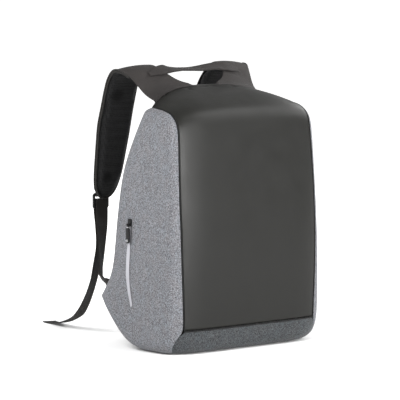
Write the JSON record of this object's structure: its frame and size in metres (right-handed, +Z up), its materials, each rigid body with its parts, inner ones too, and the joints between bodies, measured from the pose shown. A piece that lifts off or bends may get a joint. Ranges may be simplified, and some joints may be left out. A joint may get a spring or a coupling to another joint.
{
  "type": "anti theft backpack",
  "caption": "Upright backpack with a smooth coated front, heather side walls that kick out at the rear, padded shoulder straps, adjustable webbing, a grab handle and a zipped side pocket.",
  "frame": {"origin": "centre of the flat base, on the floor", "axes": "+Z up, -Y towards the smooth front panel, +Y towards the wearer's back and the straps, +X to the right as seen from the front"},
  "size_m": [0.3506, 0.5037, 0.476],
  "materials": {
    "coated": "smooth coated cloth, dark grey, low sheen",
    "heather": "flecked grey weave",
    "mesh": "black spacer mesh over foam",
    "trim": "black binding over a cord",
    "strap": "fine plain weave, warm dark grey",
    "band": "ribbed webbing, near black",
    "plastic": "moulded, black",
    "tape": "light grey reflective tape",
    "metal": "black enamel"
  },
  "bodies": {
    "bag": {"front_panel": "coated", "base_panel": "heather", "back_panel": "mesh", "side_panel_left": "heather", "side_panel_right": "heather", "front_piping": "trim", "strap_cover_left": "strap", "strap_cover_right": "strap", "strap_pad_left": "mesh", "strap_pad_right": "mesh", "grab_handle": "strap", "ladder_lock_left": "plastic", "ladder_lock_right": "plastic", "strap_loop_left": "band", "strap_loop_right": "band", "web_tab_left": "strap", "web_tab_right": "strap", "webbing_left": "band", "webbing_right": "band", "reflective_tape_left": "tape", "reflective_tape_right": "tape", "zip_slider_left": "metal", "zip_slider_right": "metal"},
    "pull_left": {"zip_pull_left": "metal"},
    "pull_right": {"zip_pull_right": "metal"}
  },
  "joints": [
    {"name": "pull_left_hinge", "type": "hinge", "parent": "bag", "child": "pull_left", "pos_m": [-0.17314, 0.04462, 0.21228], "axis": [0, 1, 0], "range_deg": [0, 150]},
    {"name": "pull_right_hinge", "type": "hinge", "parent": "bag", "child": "pull_right", "pos_m": [0.17314, 0.04462, 0.21228], "axis": [0, -1, 0], "range_deg": [0, 150]}
  ]
}
